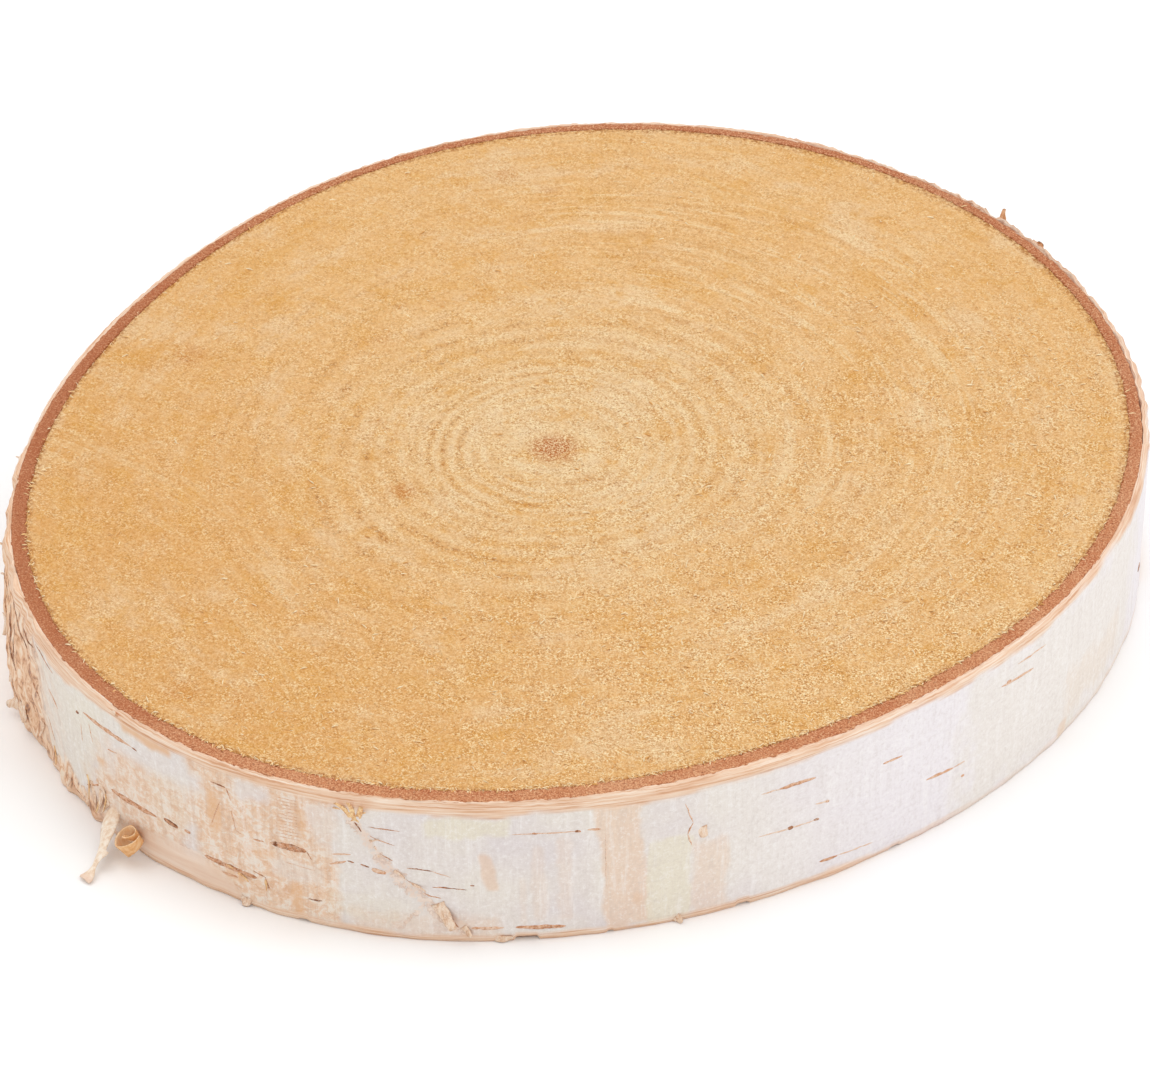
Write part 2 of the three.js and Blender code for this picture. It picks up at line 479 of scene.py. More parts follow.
def fibre_places(chance):
    """Where the fibres stand and which way they point: at random over the wood, kept where
    the blade tore most, and then at random along the near edge, pointing outwards."""
    angle = chance.uniform(0, 2 * np.pi, 5 * FACE_FIBRES)
    share = np.sqrt(chance.uniform(0, 0.97, 5 * FACE_FIBRES))
    edge = trunk_point(angle, TALL, bark_depth(angle))
    roots = edge * 1.0
    roots[:, :2] = PITH + share[:, None] * (edge[:, :2] - PITH)
    from_saw = np.hypot(roots[:, 0] - SAW_CENTRE[0], roots[:, 1] - SAW_CENTRE[1])
    torn = (1 + lumps(roots, 9, 51)) * (1.2 + np.sin(from_saw * 0.9))
    torn *= 0.5 + ramp_up(roots[:, 0] - roots[:, 1], -60, 90)
    kept = np.argsort(-torn * chance.uniform(0.2, 1, len(torn)), kind="stable")[:FACE_FIBRES]
    near = np.radians(chance.normal(265, 48, EDGE_FIBRES))
    border = trunk_point(near, TALL, bark_depth(near) + chance.uniform(-0.1, 0.9, EDGE_FIBRES))
    heading = np.concatenate([chance.uniform(0, 2 * np.pi, FACE_FIBRES),
                              near + chance.normal(0, 0.9, EDGE_FIBRES)])
    return np.concatenate([roots[kept], border]), heading


def saw_fuzz():
    """Each fibre is a three-sided hair along a path that rises and then droops: its height
    is its pitch's share of the way, less a droop that grows as the square of the way."""
    chance = np.random.default_rng(5)
    roots, heading = fibre_places(chance)
    count = len(roots)
    size = chance.uniform(0, 1, count) ** 3
    length = 0.4 + 0.6 * chance.uniform(0, 1, count) + 0.9 * size
    pitch = chance.uniform(0.1, 0.75, count)
    thick = 0.05 + 0.12 * size
    roots[:, 2] = TALL - 0.2
    forward, sideways = level_directions(heading)

    def path(t):
        rise = np.sin(pitch) * t - FIBRE_DROOP * t * t
        return (roots + (length * np.cos(pitch) * t)[:, None] * forward
                + (length * rise)[:, None] * np.array([0, 0, 1]))

    corners = np.radians([90, 210, 330])
    rings = []
    for t, wide in FIBRE_STATIONS:
        spread = (np.cos(corners)[None, :, None] * sideways[:, None, :]
                  + np.sin(corners)[None, :, None] * np.array([0, 0, 1]))
        rings.append(path(t)[:, None, :] + (wide * thick)[:, None, None] * spread)
    tips = np.stack([path(-0.05), path(1.0)], axis=1)
    points, faces = tubes(np.stack(rings, axis=1), tips)
    tone = np.repeat(chance.uniform(0, 1, count), len(points) // count)
    return build("saw_fuzz", points, faces, {"tone": tone})


def fuzz_finish():
    finish = Finish("torn_wood_fibre", 0.75, 0.2)
    finish.colour = finish.ramp(finish.field("tone"), (0.05, 228, 174, 106), (0.3, 246, 208, 148),
                                (0.8, 255, 238, 200))
    shade = finish.noise(finish.place(), 2.5, 2)
    finish.over(finish.rise(shade, 0.35, 0.6, 0.3, 0), (214, 164, 104))
    return finish.done(finish.bump(shade, 0.05))


belongs(saw_fuzz(), fuzz_finish())

# ======================================================================================
# The inner bark: the living reddish-brown layer between the wood and the white bark. It
# is granular, tears as it is sawn, and stands a hair proud of the wood.
# ======================================================================================

INNER_COLUMNS = 2400
INNER_STEPS = 13              # across its sawn top


def ring_faces(rows, columns):
    """Faces of a ring carried round the trunk: a grid whose last row joins its first."""
    first = np.arange(columns)
    last = first + (rows - 1) * columns
    seam = np.stack([last, np.roll(last, -1), np.roll(first, -1), first], -1)
    return [grid_faces(rows, columns), seam]


def inner_bark():
    """A closed ring: one profile, up the wood side, across the sawn top, down the bark
    side and back under, carried round the trunk and roughened where it was sawn."""
    angle = np.arange(INNER_COLUMNS) * 2 * np.pi / INNER_COLUMNS
    across = np.linspace(0, 1, INNER_STEPS)
    flat = np.ones(INNER_STEPS)
    share = np.concatenate([[0, 0], across, [1, 1, 1], across[::-2]])
    level = np.concatenate([[0.3, 0.9], flat, [0.9, 0.5, 0.1], 0 * across[::-2]])
    depth = bark_depth(angle)[None, :]
    inward = depth + share[:, None] * (OUTER_BARK - 0.1 - depth)
    height = np.broadcast_to(level[:, None] * TALL, inward.shape)
    points = trunk_point(angle[None, :], height, inward)
    torn = 0.6 * lumps(points, 0.7, 11) + 0.6 * lumps(points, 2.3, 12)
    crumbs = 0.6 * lumps(points, 0.6, 13) + 0.5 * lumps(points, 1.5, 14)
    sawn = np.concatenate([[0, 0], flat, [0, 0, 0], -0.4 * flat[::2]])[:, None]
    edges = np.concatenate([[0, 0], np.abs(2 * across - 1) ** 3, [0, 0, 0],
                            0 * across[::2]])[:, None]
    points[..., 2] += sawn * (-0.02 + 0.12 * crumbs - 0.08 * edges)
    away = points[..., :2] / np.linalg.norm(points[..., :2], axis=-1, keepdims=True)
    points[..., :2] += away * (0.2 * torn * edges)[..., None]
    points[..., 2] = np.clip(points[..., 2], 0, None)
    return build("inner_bark", points.reshape(-1, 3), ring_faces(len(share), INNER_COLUMNS),
                 {"across": np.broadcast_to(share[:, None], inward.shape)})


def inner_bark_finish():
    finish = Finish("inner_bark_grain", 0.85, 0.15)
    place = finish.place()
    drift = finish.noise(place, 0.10, 3)
    finish.colour = finish.ramp(drift, (0.35, 196, 122, 82), (0.5, 205, 137, 95),
                                (0.65, 212, 150, 109))

    # darker towards the far edge and the left, where its pale speckle is fainter too
    far = finish.part(place, 1)
    finish.over(finish.rise(far, -60, 40, 0, 0.55), (184, 110, 74))
    left = finish.part(place, 0)
    finish.over(finish.rise(left, -100, -45, 0.75, 0), (176, 104, 68))
    dull = finish.rise(left, -100, -45, 0.4, 1)
    across = finish.field("across")
    finish.over(finish.rise(across, 0.6, 1, 0, 0.3), (212, 146, 108))
    grain = finish.noise(place, 1.7, 4, 0.8)
    finish.over(finish.rise(grain, 0.38, 0.48, 0.5, 0), (156, 88, 56))
    finish.over(finish.times(finish.rise(grain, 0.53, 0.63, 0, 0.5), dull), (238, 194, 152))
    fuzz = finish.noise(place, 3.4, 2, 0.6)
    finish.over(finish.rise(fuzz, 0.38, 0.48, 0.4, 0), (152, 84, 54))
    finish.over(finish.times(finish.rise(fuzz, 0.54, 0.64, 0, 0.4), dull), (242, 202, 160))
    dots = finish.rise(finish.spots(place, 0.7), 0.08, 0.2, 0.45, 0)
    finish.over(dots, (120, 62, 40))

    # the growing layer against the wood, a thin dotted brown line
    fringe = finish.math("ADD", across, finish.rise(grain, 0.42, 0.58, -0.12, 0.16))
    finish.over(finish.rise(fringe, 0.02, 0.08, 0.7, 0), (146, 78, 34))
    return finish.done(finish.bump(grain, 0.35))


belongs(inner_bark(), inner_bark_finish())

# ======================================================================================
# The outer bark: a papery shell of many thin layers, white on its face and peach where
# the white skin has torn off. The saw frayed its upper rim, and it lifts at the back right.
# ======================================================================================

BARK_COLUMNS = 1560
WALL_STEPS = 47
RIM_STEPS = 6
SKIN = 0.2                    # thickness of the white skin that tears off
BULGE = 2.5                   # how far the foot of the left flank swells out, in mm
BULGE_STARTS = (179, 200)     # it grows between the first two angles, fades between the
BULGE_ENDS = (202, 209)       # next two, and dies out between two heights
BULGE_HEIGHTS = (8, 27)
MM_PER_DEGREE = math.radians(MEAN_RADIUS)


def patch(degrees, height, start, end, low, high, corner=1.5):
    """How far inside a round-cornered patch of the wall a place is, in mm: the patch runs
    between two angles and two heights."""
    half = np.array([(end - start) * MM_PER_DEGREE, high - low]) / 2 - corner
    across = np.abs(degrees - (start + end) / 2) * MM_PER_DEGREE - half[0]
    upward = np.abs(height - (low + high) / 2) - half[1]
    outside = np.hypot(np.maximum(across, 0), np.maximum(upward, 0))
    return corner - outside - np.minimum(np.maximum(across, upward), 0)


def stroke(degrees, height, start, low, end, high, width):
    """How far inside a straight stroke of the wall a place is, in mm: the stroke joins two
    places, each an angle and a height, and has a width."""
    from_along, from_height = (degrees - start) * MM_PER_DEGREE, height - low
    run, rise = (end - start) * MM_PER_DEGREE, high - low
    share = np.clip((from_along * run + from_height * rise) / (run ** 2 + rise ** 2), 0, 1)
    return width / 2 - np.hypot(from_along - share * run, from_height - share * rise)


# The upper edge of the peeled band: its heights in mm at these angles.
PEELED_ANGLES = (222, 223.5, 226.4, 230, 233, 236.3, 238.4, 239)
PEELED_HEIGHTS = (-2, 4.5, 6.4, 7.6, 7.8, 4.9, 0.2, -2)


def peeled_band(degrees, height):
    """How far below the upper edge of the peeled band a place is, in mm. The band follows
    the foot at the front left, where a strip of skin has been pulled away."""
    edge = np.interp(degrees, PEELED_ANGLES, PEELED_HEIGHTS)
    return 0.8 * (edge - height)


def bare_places(degrees, height, points):
    """How far inside the torn-off places a point is, in mm, with ragged edges."""
    ragged = 0.6 * lumps(points, (2.5, 2.5, 1.2), 21) + 0.4 * lumps(points, 0.9, 22)
    scar = np.maximum(stroke(degrees, height, 248.9, 25.5, 252.2, 14.6, 1.9),
                      stroke(degrees, height, 252.2, 14.6, 258.8, 2.4, 2.4))
    side_scar = stroke(degrees, height, 252.8, 2.3, 255.2, 7.8, 0.7)
    torn = np.maximum(scar + 0.8 * ragged, side_scar + 0.3 * ragged)
    return np.maximum(peeled_band(degrees, height) + 0.15 * ragged, np.minimum(torn, 0.2))


def frayed_band(degrees):
    """Height of the band under the rim where the layers show their sawn edges, in mm."""
    return 1.2 + 1.3 * hump(degrees, 262, 24) + 1.6 * hump(degrees, 208, 12)


# Each chip: the angles where it starts and ends, and its height in mm.
FOOT_CHIPS = ((261.4, 262.5, 0.7), (263.2, 265.6, 0.9), (243.0, 244.2, 0.4),
              (272.0, 272.8, 0.4), (285.4, 287.0, 0.5), (304.0, 305.5, 0.4),
              (60, 64, 0.6), (130, 136, 0.7))


def foot_chips(degrees):
    """How far up the foot of the bark has chipped away, in mm: shallow broken places with
    steep sides."""
    depth = np.zeros(degrees.shape)
    for start, end, high in FOOT_CHIPS:
        inside = np.minimum(degrees - start, end - degrees)
        depth = np.maximum(depth, high * ramp_up(inside, -0.1, 0.3))
    return depth


def rough_flank(degrees, height):
    """The weathered left flank: 1 in its middle and 0 on the smooth bark either side. It
    reaches further round along the foot, as far as the peeled band."""
    wavy = 1.5 * np.sin(degrees * 0.9) + 1.0 * np.sin(degrees * 2.3 + height)
    foot = (1 - ramp_up(degrees, 219, 222.5)) * (1 - ramp_up(height + wavy, 4, 7))
    flank = 1 - ramp_up(degrees + 0.6 * wavy, 206, 215)
    return ramp_up(degrees, 170, 190) * np.maximum(flank, foot)


def bark_relief(angle, height):
    """How far the bark's face stands out from the trunk's outline, in mm: broad swells,
    fine upright ribs, cracks in the flank and a bulge at its foot, a step down into the
    torn-off places, a rim rounded by the saw, and loose blisters at the back right."""
    degrees = np.degrees(angle)
    points = trunk_point(angle, height, 0)
    swell = 0.25 * lumps(points, 26, 41) + 0.10 * lumps(points, 8, 42)
    ribs = 0.035 * lumps(points, (1.6, 1.6, 14), 43)
    cracks = 0.65 * lumps(points, (4, 4, 6), 44) + 0.42 * lumps(points, (1.4, 1.4, 3), 45)
    bulge = BULGE * ramp_up(degrees, *BULGE_STARTS) * (1 - ramp_up(degrees, *BULGE_ENDS))
    bulge *= 1 - ramp_up(height, *BULGE_HEIGHTS)
    step = -SKIN * ramp_up(bare_places(degrees, height, points), -0.15, 0.3)
    rounded = -0.85 * ramp_up(height, TALL - 0.9 * frayed_band(degrees), TALL + 0.2)
    foot = -0.3 * (1 - ramp_up(height, 0, 0.9)) + 0.15 * lumps(points, (3, 3, 40), 48)
    return (swell + ribs + rough_flank(degrees, height) * cracks + bulge + step + rounded
            + foot * (1 - ramp_up(height, 0, 3)) + lift(degrees, height))


# Each blister: the angle of its middle, its width in degrees and its height in mm.
BLISTERS = ((40, 14, 1.0), (12, 12, 0.6), (68, 7, 0.5))


def lift(degrees, height):
    """How far the bark stands off the trunk at the back right, in mm: long blisters, open
    at the rim and closed half way down, with a wavy edge."""
    blister = sum(high * hump(degrees, middle, width) for middle, width, high in BLISTERS)
    wavy = 0.5 + 0.25 * np.sin(degrees * 1.1) + 0.25 * np.sin(degrees * 2.7 + 1)
    return blister * wavy * ramp_up(height, 0.4 * TALL, TALL)


def tint(degrees, height, points, patches):
    """A soft tint over the wall: the strongest of several patches."""
    soft = 0.6 * lumps(points, (3, 3, 6), 31) + 0.4 * lumps(points, 1.2, 32)
    total = np.zeros(degrees.shape)
    for start, end, low, high, strength, blur, *lean in patches:
        leaning = degrees - sum(lean) * (height - (low + high) / 2)
        inside = patch(leaning, height, start, end, low, high, min(1.0, (high - low) / 2))
        inside += (0.4 + blur) * soft
        total = np.maximum(total, strength * ramp_up(inside, -blur, blur))
    return total


# Each patch runs between two angles and two heights, and has a strength, the width that
# its edge is blurred over in mm and, if it leans, its degrees for each mm upwards.
CREAM_PATCHES = ((255.6, 263.6, 22.8, 27.0, 0.9, 0.7), (276.2, 280.6, 0.8, 19.0, 0.85, 0.35, 0.03),
                 (246, 253, 3, 9, 0.35, 1.2), (205, 220, 0, 27, 0.5, 3.0, 0.2),
                 (330, 334, 0, 3.5, 0.6, 0.8), (314, 350, 0, 30, 0.45, 5.0),
                 (228, 233, 10, 22, 0.25, 1.5), (150, 158, 4, 24, 0.5, 3),
                 (80, 88, 3, 26, 0.5, 3), (112, 118, 8, 20, 0.5, 2), (30, 37, 2, 12, 0.5, 2))
PEACH_PATCHES = ((271.8, 276.2, 1, 28, 0.6, 0.6, -0.03), (280.8, 284.5, 1, 17, 0.4, 1.0),
                 (233, 247.5, 0, 29, 0.95, 1.6), (220, 233, 0, 22, 0.85, 4.0, 0.3),
                 (248, 262, 0, 6, 0.4, 1.6), (332, 345, 4, 13, 0.25, 2.0),
                 (172, 206, 0, 30, 0.7, 3.5), (265.3, 266.3, 5, 21, 0.2, 0.5),
                 (267.6, 269.0, 4, 22, 0.22, 0.5), (264.0, 264.5, 2, 14, 0.15, 0.3),
                 (124, 136, 6, 22, 0.45, 4), (50, 66, 4, 16, 0.45, 4), (98, 103, 2, 24, 0.45, 2.5))
WHITE_PATCHES = ((224, 234.5, 21.5, 25.5, 0.9, 1.5), (238.2, 241.2, 24.5, 28, 0.8, 1.0),
                 (245.0, 250.5, 17, 27, 0.6, 1.6), (206, 217.5, 2, 25, 0.6, 4.0, 0.3),
                 (241, 246, 9, 13, 0.5, 0.8))
TAN_PATCHES = ((225.0, 231.4, 26.6, 28.6, 0.85, 0.5), (239, 241.5, 12.4, 13.8, 0.5, 0.4),
               (260.5, 261.8, 11.2, 19.8, 0.42, 0.45, -0.13), (242.8, 243.8, 1, 8.4, 0.6, 0.4),
               (235.0, 236.2, 14, 24, 0.6, 0.5), (233.5, 238, 4.8, 6.0, 0.55, 0.5),
               (243.9, 244.8, 18, 25, 0.5, 0.5),
               (220.6, 221.7, 14.4, 15.8, 0.5, 0.3), (330.3, 332.2, 0.5, 3.5, 0.35, 0.5),
               (186, 200, 0, 30, 0.45, 2.5), (274.6, 275.8, 5.5, 8, 0.3, 0.4))


def outer_bark():
    """A closed ring: one profile, up the white face, over the sawn rim, down the inside
    and back under, carried round the trunk and pushed in and out by the bark's relief.
    Its columns stand closest together along the front."""
    even = np.arange(BARK_COLUMNS) * 2 * np.pi / BARK_COLUMNS
    angle = even - 0.45 * np.sin(even - math.radians(270))
    wall = np.linspace(0, 1, WALL_STEPS)
    rim = np.linspace(0, 1, RIM_STEPS + 2)[1:-1]
    level = np.concatenate([wall, np.ones(RIM_STEPS), [1, 0.6, 0.2, 0], np.zeros(2)])
    share = np.concatenate([0 * wall, rim, [1, 1, 1, 1], [0.66, 0.33]])[:, None]
    layer = np.concatenate([wall * TALL, TALL + rim * OUTER_BARK,
                            [TALL + OUTER_BARK, 20, 10, 0], [0, 0]])
    height = level[:, None] * TALL + 0 * angle
    degrees = np.degrees(np.mod(angle, 2 * np.pi)) + 0 * height
    flat_points = trunk_point(angle, height, share * OUTER_BARK)

    outward = bark_relief(np.radians(degrees), height)
    lifted = lift(degrees, height)
    outward = (outward - lifted) * (1 - share) + lifted
    points = trunk_point(angle, height, share * (OUTER_BARK - 0.05) - outward)
    fray = 0.18 * lumps(flat_points, 1.8, 46) + 0.16 * lumps(flat_points, 0.6, 47)
    loose = 1 + 1.8 * hump(degrees, 42, 20)
    points[..., 2] += (loose * fray - 0.05) * ramp_up(height, TALL - 1.5, TALL)
    points[..., 2] = np.clip(points[..., 2], 0, None)
    points[..., 2] += foot_chips(degrees) * np.clip(1 - height / 3, 0, 1) * (share < 1)

    wavy = 0.5 * lumps(flat_points, (7, 7, 40), 33) + 0.25 * lumps(flat_points, (2, 2, 3), 34)
    band = frayed_band(degrees)
    ragged = 1.3 + 2.0 * hump(degrees, 213, 10)
    rim_share = ramp_up(height + ragged * wavy, TALL - band - 0.4, TALL - band + 0.4)
    foot_share = 1 - ramp_up(height + 0.9 * wavy, 0.9, 1.8)
    foot_share *= 1 - 0.6 * ramp_up(degrees, 296, 316)
    fields = {"bare": bare_places(degrees, height, flat_points),
              "rough": rough_flank(degrees, height), "rim": np.maximum(rim_share, foot_share),
              "cream": tint(degrees, height, flat_points, CREAM_PATCHES),
              "peach": tint(degrees, height, flat_points, PEACH_PATCHES),
              "white": tint(degrees, height, flat_points, WHITE_PATCHES),
              "tan": tint(degrees, height, flat_points, TAN_PATCHES),
              "layer": np.broadcast_to(layer[:, None], height.shape)}
    faces = ring_faces(len(level), BARK_COLUMNS)
    return build("outer_bark", points.reshape(-1, 3), faces, fields)


def bark_finish():
    finish = Finish("papery_birch_bark", 0.62, 0.3)
    place = finish.place()

    # the white skin: chalky, with a faint lilac or cream cast and soft upright ribs
    drift = finish.noise(place, 0.06, 3)
    finish.colour = finish.ramp(drift, (0.36, 222, 213, 211), (0.5, 226, 217, 211),
                                (0.64, 229, 221, 211))
    right = finish.part(place, 0)
    finish.over(finish.rise(right, 10, 60, 0, 0.9), (235, 229, 232))
    covered = finish.math("SUBTRACT", 1.0, finish.field("white"))
    peach = finish.times(finish.field("peach"), covered)
    finish.over(peach, (230, 196, 165))
    finish.over(finish.times(finish.field("cream"), 0.85), (228, 219, 197))
    patchy = finish.rise(finish.noise(place, 0.12, 3), 0.42, 0.58)
    ribs = finish.noise(finish.place(1, 1, 0.07), 0.9, 4, 0.7)
    finish.over(finish.times(finish.rise(ribs, 0.36, 0.5, 0.18, 0), patchy), (202, 190, 184))
    finish.over(finish.rise(ribs, 0.52, 0.66, 0, 0.3), (244, 240, 238))
    threads = finish.noise(finish.place(0.12, 0.12, 1), 1.5, 4, 0.7)
    threaded = finish.rise(threads, 0.34, 0.47, 0.16, 0)
    finish.over(finish.times(threaded, finish.math("SUBTRACT", 1.0, patchy)), (202, 188, 180))
    specks = finish.noise(place, 1.3, 4, 0.8)
    finish.over(finish.rise(specks, 0.36, 0.48, 0.22, 0), (194, 180, 172))
    finish.over(finish.rise(specks, 0.52, 0.64, 0, 0.4), (246, 243, 241))
    worn = finish.times(peach, finish.rise(right, -40, -5, 1, 0.2))
    mottle = finish.noise(finish.place(0.8, 0.8, 1), 0.6, 6, 0.75, 0.8)
    finish.over(finish.times(finish.rise(mottle, 0.5, 0.58, 0, 0.75), worn), (235, 226, 215))
    finish.over(finish.times(finish.rise(mottle, 0.38, 0.46, 0.5, 0), worn), (214, 162, 120))
    finish.over(finish.times(finish.rise(ribs, 0.38, 0.48, 0.3, 0), worn), (206, 164, 132))
    finish.over(finish.times(finish.field("tan"), 0.95), (226, 178, 132))

    # under the skin: smooth pinkish-peach sheets, behind a ragged thin torn edge that carries a
    # thin brown painted shadow
    layer = finish.field("layer")
    bare = finish.field("bare")
    sheets = finish.noise(finish.along(finish.times(layer, 0.6), 0.05, 0.05), 1, 4, 0.6)
    under = finish.ramp(sheets, (0.36, 228, 196, 172), (0.5, 233, 206, 184),
                        (0.64, 238, 216, 198))
    ragged = finish.math("ADD", bare, finish.rise(finish.noise(place, 1.3, 4, 0.7), 0.3, 0.7,
                                                  -0.35, 0.35))
    share = finish.times(finish.rise(ragged, -0.2, 0.4), finish.rise(bare, 0.8, 2.2, 0.65, 1))
    finish.over(share, under)
    # painted shadow: a thin broken brown line along the torn edge, where the white skin's lip
    # shades the sheets below
    torn = finish.times(finish.rise(ragged, -0.12, 0.05), finish.rise(ragged, 0.08, 0.35, 1, 0))
    broken = finish.rise(finish.noise(place, 0.5, 3), 0.48, 0.6, 0, 0.4)
    finish.over(finish.times(torn, broken), (190, 142, 110))

    # the weathered flank: grey-brown and orange fibres, with dark cracks
    cracks = finish.noise(finish.place(0.8, 0.8, 0.4), 0.8, 5, 0.7, 0.8)
    flank = finish.ramp(cracks, (0.36, 132, 76, 44), (0.43, 204, 144, 98), (0.52, 234, 190, 150),
                        (0.62, 242, 220, 196))
    finish.over(finish.times(finish.field("rough"), 0.85), flank)

    # the sawn edges of the layers along the rim and the foot: peach, tan and cream lines
    lines = finish.noise(finish.along(finish.times(layer, 3.4), 0.08, 0.08), 1, 3, 0.7)
    edges = finish.ramp(lines, (0.36, 204, 148, 108), (0.46, 226, 184, 150),
                        (0.54, 232, 200, 172), (0.66, 242, 222, 202))
    finish.over(finish.times(finish.field("rim"), 0.92), edges)

    relief = finish.math("ADD", finish.times(ribs, 0.5), finish.times(threads, 0.5))
    relief = finish.math("ADD", relief, finish.times(specks, 0.5))
    return finish.done(finish.bump(relief, 0.12))


belongs(outer_bark(), bark_finish())

# ======================================================================================
# The lenticels and cracks: corky brown slits that the bark breathes through, lying across
# the trunk, and thin dark splits. Each is a low lens that follows the bark's own relief.
# ======================================================================================

# Each mark joins two places, an angle in degrees and a height in mm, with its thickness
# in mm and its tone, from 0 for pale tan to 1 for dark brown.
LENTICELS = (
    (219.3, 23.8, 226.3, 24.1, 0.95, 0.45), (226.3, 24.1, 227.0, 23.9, 0.25, 0.8),
    (218.0, 22.2, 218.5, 22.7, 0.5, 0.9), (222.4, 10.6, 228.6, 11.1, 1.1, 0.6),
    (229.4, 11.7, 231.1, 11.3, 1.1, 0.85), (231.8, 11.4, 232.5, 11.4, 0.8, 0.6),
    (207.0, 26.2, 209.6, 25.2, 0.75, 1.0), (210.2, 26.9, 214.2, 25.6, 0.4, 0.75),
    (212.2, 19.8, 214.0, 17.6, 0.5, 0.45), (233.8, 7.6, 239.4, 7.0, 1.2, 0.65),
    (235.5, 5.6, 237.3, 5.6, 0.6, 0.45), (241.1, 16.0, 244.6, 16.0, 1.2, 0.7),
    (241.2, 16.0, 242.2, 16.0, 0.9, 1.0), (239.4, 15.7, 240.5, 15.8, 0.35, 0.5),
    (244.3, 5.5, 245.7, 5.7, 0.3, 0.95), (246.9, 16.6, 248.8, 17.2, 0.3, 0.35),
    (246.7, 14.3, 248.3, 15.6, 0.4, 0.5), (248.4, 15.7, 249.0, 15.5, 0.4, 0.9),
    (249.6, 15.4, 250.4, 15.0, 0.4, 0.8), (250.6, 14.7, 251.9, 14.0, 1.0, 0.4),
    (288.2, 23.7, 290.5, 23.5, 0.3, 0.2), (290.2, 23.6, 294.5, 23.4, 0.75, 0.5),
    (287.8, 14.5, 295.0, 14.0, 0.3, 0.2), (291.2, 14.4, 291.9, 14.2, 0.8, 0.8),
    (294.2, 14.1, 294.9, 14.0, 0.55, 0.85), (294.4, 17.6, 296.2, 17.2, 0.3, 0.15),
    (295.6, 17.3, 296.1, 17.1, 0.5, 0.4), (295.0, 4.3, 297.2, 4.2, 0.7, 0.65),
    (297.1, 4.3, 301.7, 3.8, 0.3, 0.2), (302.7, 20.5, 305.3, 20.3, 0.5, 0.5),
    (308.6, 12.2, 312.6, 11.6, 0.6, 0.45), (312.6, 11.6, 314.2, 11.7, 0.25, 0.4),
    (313.7, 8.7, 314.2, 8.5, 0.5, 0.5), (319.3, 23.2, 324.8, 22.2, 0.5, 0.35),
    (320.2, 23.4, 320.9, 23.3, 0.6, 0.6), (321.8, 25.8, 326.8, 25.3, 0.3, 0.25),
    (263.5, 23.6, 269.7, 23.3, 0.25, 0.35), (269.4, 23.3, 270.0, 23.2, 0.6, 0.8),
    (270.6, 23.4, 271.9, 23.2, 0.5, 0.45), (265.4, 23.5, 265.9, 23.4, 0.4, 0.6),
    (259.3, 3.2, 262.4, 3.2, 0.7, 0.4), (263.4, 3.2, 268.2, 2.7, 0.85, 0.6),
    (222.6, 19.5, 224.0, 20.2, 0.4, 0.5), (218.2, 6.5, 220.8, 9.6, 0.4, 0.6))
CRACKS = (
    (235.5, 25.3, 237.1, 25.2, 0.35, 0.8), (237.1, 25.2, 237.5, 22.6, 0.2, 0.6),
    (236.3, 21.6, 235.1, 15.7, 0.2, 0.5), (237.4, 20.6, 237.7, 16.3, 0.2, 0.5),
    (237.7, 16.3, 238.3, 15.9, 0.2, 0.6), (244.6, 16.0, 245.0, 14.4, 0.2, 0.8),
    (239.0, 8.4, 240.3, 7.7, 0.25, 0.8), (240.2, 7.7, 240.5, 5.4, 0.3, 0.7),
    (242.3, 12.5, 245.5, 12.1, 0.2, 0.25), (249.3, 24.5, 249.9, 22.4, 0.35, 0.95),
    (250.6, 23.9, 253.5, 23.6, 0.2, 0.7), (250.6, 21.9, 252.9, 20.3, 0.2, 0.7),
    (251.4, 18.2, 252.6, 17.0, 0.25, 0.7), (253.8, 15.7, 256.2, 15.4, 0.28, 0.85),
    (256.1, 15.4, 257.8, 14.2, 0.15, 0.4), (256.0, 12.0, 259.2, 11.6, 0.25, 0.85),
    (259.5, 12.6, 259.9, 12.5, 0.3, 0.9), (253.6, 13.2, 254.6, 12.0, 0.2, 0.6),
    (255.2, 10.4, 256.8, 9.6, 0.25, 0.6), (256.4, 7.7, 258.2, 3.1, 0.4, 0.7),
    (280.2, 25.9, 281.0, 21.4, 0.25, 0.35), (281.0, 21.4, 280.4, 19.1, 0.3, 0.5),
    (280.4, 19.1, 280.8, 16.4, 0.25, 0.4), (218.6, 20.4, 218.4, 16.2, 0.15, 0.4),
    (220.1, 22.4, 220.3, 18.2, 0.15, 0.4), (272.3, 22.0, 272.2, 10.0, 0.15, 0.15),
    (198.6, 9.0, 201.4, 3.0, 0.5, 0.9), (199.0, 20.5, 202.6, 12.0, 0.8, 1.0),
    (200.5, 26.5, 203.4, 20.0, 1.0, 1.1), (202.0, 17.6, 203.8, 12.6, 0.7, 1.0),
    (195.0, 24.0, 197.6, 15.0, 0.5, 0.85), (192.6, 17.0, 194.6, 8.0, 0.5, 0.8),
    (204.2, 26.4, 207.8, 19.6, 0.6, 0.95), (207.2, 16.6, 209.6, 11.6, 0.45, 0.7),
    (188.0, 27.0, 189.6, 18.0, 0.5, 0.8), (186.0, 14.0, 188.6, 5.0, 0.5, 0.8),
    (210.8, 12.0, 212.0, 8.0, 0.3, 0.5), (214.0, 4.0, 217.0, 2.0, 0.4, 0.6))
LADDER_RUNGS = 13             # fine cross ribs between two upright ones, at the front left
HIDDEN_LENTICELS = 26         # scattered over the sides and back
MARK_STATIONS = 26
MARK_AROUND = 8


